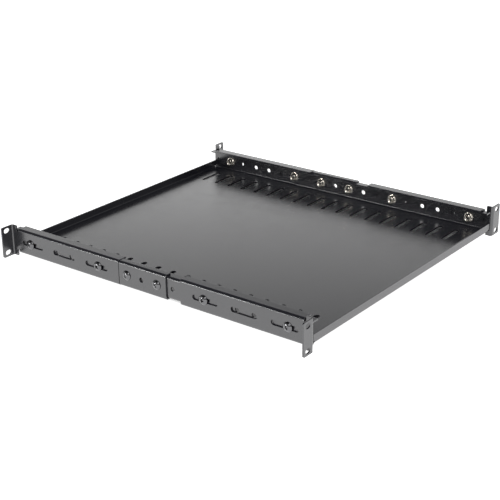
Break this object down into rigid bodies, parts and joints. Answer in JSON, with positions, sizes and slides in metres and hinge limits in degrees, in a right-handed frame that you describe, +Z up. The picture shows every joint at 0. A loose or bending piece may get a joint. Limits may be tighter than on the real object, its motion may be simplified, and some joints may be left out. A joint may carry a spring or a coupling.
{
  "type": "four-post adjustable-depth rack shelf",
  "caption": "Shallow folded steel tray with vented floor, low end lips and slotted side brackets that slide along its sides, each ending in an ear with rack-screw slots.",
  "frame": {"origin": "under the middle of the shelf, level with the lower edges of the four ears", "axes": "+X to the shelf's right seen from the front, +Y to the rear, +Z up; the shelf's front ears face -Y"},
  "size_m": [0.4826, 0.504, 0.044],
  "materials": {
    "powder_coat": "satin black powder coat with a fine texture",
    "screw_steel": "black zinc-plated machine screw",
    "nut_steel": "bright zinc-plated flange nut"
  },
  "bodies": {
    "shelf": {"tray": "powder_coat", "left_mid_bracket": "powder_coat", "right_mid_bracket": "powder_coat", "left_screw_1": "screw_steel", "left_screw_2": "screw_steel", "left_screw_3": "screw_steel", "left_screw_4": "screw_steel", "left_screw_5": "screw_steel", "left_screw_6": "screw_steel", "left_nut_1": "nut_steel", "left_nut_2": "nut_steel", "left_nut_3": "nut_steel", "left_nut_4": "nut_steel", "left_nut_5": "nut_steel", "left_nut_6": "nut_steel", "right_screw_1": "screw_steel", "right_screw_2": "screw_steel", "right_screw_3": "screw_steel", "right_screw_4": "screw_steel", "right_screw_5": "screw_steel", "right_screw_6": "screw_steel", "right_nut_1": "nut_steel", "right_nut_2": "nut_steel", "right_nut_3": "nut_steel", "right_nut_4": "nut_steel", "right_nut_5": "nut_steel", "right_nut_6": "nut_steel"},
    "front_left_end": {"left_front_bracket": "powder_coat"},
    "front_right_end": {"right_front_bracket": "powder_coat"},
    "rear_left_end": {"left_rear_bracket": "powder_coat"},
    "rear_right_end": {"right_rear_bracket": "powder_coat"}
  },
  "joints": [
    {"name": "front_left_adjust", "type": "slide", "parent": "shelf", "child": "front_left_end", "axis": [0, 1, 0], "range_m": [-0.0141, 0.0123]},
    {"name": "front_right_adjust", "type": "slide", "parent": "shelf", "child": "front_right_end", "axis": [0, 1, 0], "range_m": [-0.0141, 0.0123]},
    {"name": "rear_left_adjust", "type": "slide", "parent": "shelf", "child": "rear_left_end", "axis": [0, 1, 0], "range_m": [0, 0.0141]},
    {"name": "rear_right_adjust", "type": "slide", "parent": "shelf", "child": "rear_right_end", "axis": [0, 1, 0], "range_m": [0, 0.0141]}
  ]
}
